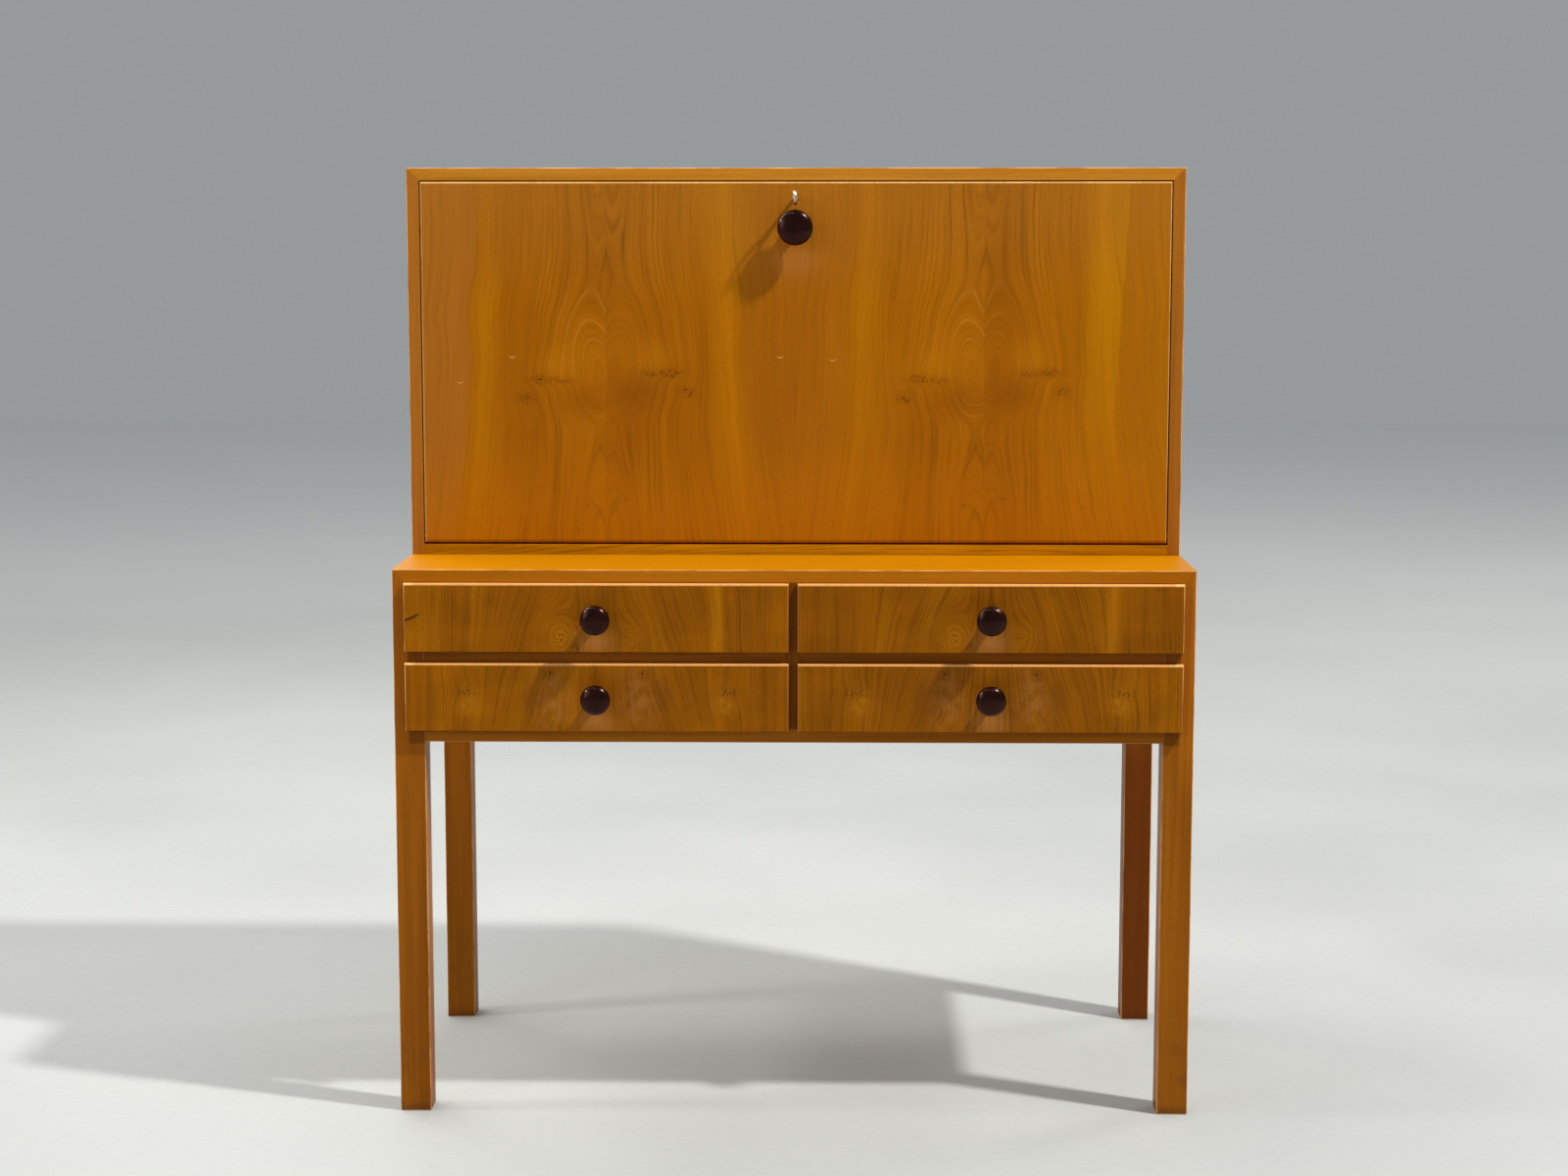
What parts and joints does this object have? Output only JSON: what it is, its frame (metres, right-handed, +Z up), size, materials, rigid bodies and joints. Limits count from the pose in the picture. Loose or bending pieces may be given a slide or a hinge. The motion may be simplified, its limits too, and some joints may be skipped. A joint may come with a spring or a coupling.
{
  "type": "secretary desk",
  "caption": "Desk with drawers on square legs and an upper case closed by a fall front that opens down into a writing surface.",
  "frame": {"origin": "on the floor under the middle of the desk's box, from the drawer knobs to the back", "axes": "+Z up, +X to the right seen from the front, -Y towards the person using it"},
  "size_m": [1.03, 0.5236, 1.23],
  "materials": {
    "case_veneer": "honey brown veneer, satin varnish",
    "fall_veneer": "book-matched honey brown veneer, satin varnish",
    "drawer_veneer": "figured brown veneer, satin varnish",
    "frame_wood": "stained solid wood, satin varnish",
    "inner_wood": "light brown wood, matt",
    "drawer_lining": "pale unfinished wood",
    "knob_lacquer": "turned wood in dark glossy lacquer",
    "brass": "dull polished brass",
    "steel": "worn nickelled steel"
  },
  "bodies": {
    "case": {"leg_front_left": "frame_wood", "leg_front_right": "frame_wood", "leg_rear_left": "frame_wood", "leg_rear_right": "frame_wood", "base_top": "case_veneer", "base_side_left": "case_veneer", "base_side_right": "case_veneer", "base_bottom_rail": "frame_wood", "base_bottom_panel": "inner_wood", "base_partition": "frame_wood", "mid_board_left": "frame_wood", "mid_board_right": "frame_wood", "base_back": "inner_wood", "case_top": "case_veneer", "case_side_left": "case_veneer", "case_side_right": "case_veneer", "case_bottom": "case_veneer", "case_back": "inner_wood", "desk_floor": "inner_wood", "strike_plate": "brass", "pivot_plate_left": "brass", "pivot_plate_right": "brass", "pigeonhole_end_left": "inner_wood", "pigeonhole_end_right": "inner_wood", "pigeonhole_divider_left": "inner_wood", "pigeonhole_divider_right": "inner_wood", "pigeonhole_top": "inner_wood", "stay_guide_left": "brass", "stay_guide_right": "brass"},
    "fall": {"fall_front": "fall_veneer", "fall_knob": "knob_lacquer", "lock_case": "steel", "quadrant_left": "brass", "quadrant_right": "brass"},
    "key": {"key": "steel"},
    "bolt": {"lock_bolt": "brass"},
    "drawer_upper_left": {"drawer_upper_left_front": "drawer_veneer", "drawer_upper_left_side_inner": "drawer_lining", "drawer_upper_left_side_outer": "drawer_lining", "drawer_upper_left_back": "drawer_lining", "drawer_upper_left_bottom": "drawer_lining", "drawer_upper_left_knob": "knob_lacquer"},
    "drawer_upper_right": {"drawer_upper_right_front": "drawer_veneer", "drawer_upper_right_side_inner": "drawer_lining", "drawer_upper_right_side_outer": "drawer_lining", "drawer_upper_right_back": "drawer_lining", "drawer_upper_right_bottom": "drawer_lining", "drawer_upper_right_knob": "knob_lacquer"},
    "drawer_lower_left": {"drawer_lower_left_front": "drawer_veneer", "drawer_lower_left_side_inner": "drawer_lining", "drawer_lower_left_side_outer": "drawer_lining", "drawer_lower_left_back": "drawer_lining", "drawer_lower_left_bottom": "drawer_lining", "drawer_lower_left_knob": "knob_lacquer"},
    "drawer_lower_right": {"drawer_lower_right_front": "drawer_veneer", "drawer_lower_right_side_inner": "drawer_lining", "drawer_lower_right_side_outer": "drawer_lining", "drawer_lower_right_back": "drawer_lining", "drawer_lower_right_bottom": "drawer_lining", "drawer_lower_right_knob": "knob_lacquer"}
  },
  "joints": [
    {"name": "fall_hinge", "type": "hinge", "parent": "case", "child": "fall", "pos_m": [0, -0.03925, 0.7412], "axis": [1, 0, 0], "range_deg": [0, 90]},
    {"name": "drawer_upper_left_slide", "type": "slide", "parent": "case", "child": "drawer_upper_left", "axis": [0, -1, 0], "range_m": [0, 0.3]},
    {"name": "drawer_upper_right_slide", "type": "slide", "parent": "case", "child": "drawer_upper_right", "axis": [0, -1, 0], "range_m": [0, 0.3]},
    {"name": "drawer_lower_left_slide", "type": "slide", "parent": "case", "child": "drawer_lower_left", "axis": [0, -1, 0], "range_m": [0, 0.3]},
    {"name": "drawer_lower_right_slide", "type": "slide", "parent": "case", "child": "drawer_lower_right", "axis": [0, -1, 0], "range_m": [0, 0.3]},
    {"name": "key_turn", "type": "hinge", "parent": "fall", "child": "key", "pos_m": [0, -0.04825, 1.191], "axis": [0, 1, 0], "range_deg": [0, 180]},
    {"name": "bolt_slide", "type": "slide", "parent": "fall", "child": "bolt", "axis": [0, 0, 1], "range_m": [0, 0.0075]}
  ],
  "couplings": [
    {"joint": "bolt_slide", "follows": "key_turn", "m_per_rad": 0.002228}
  ]
}
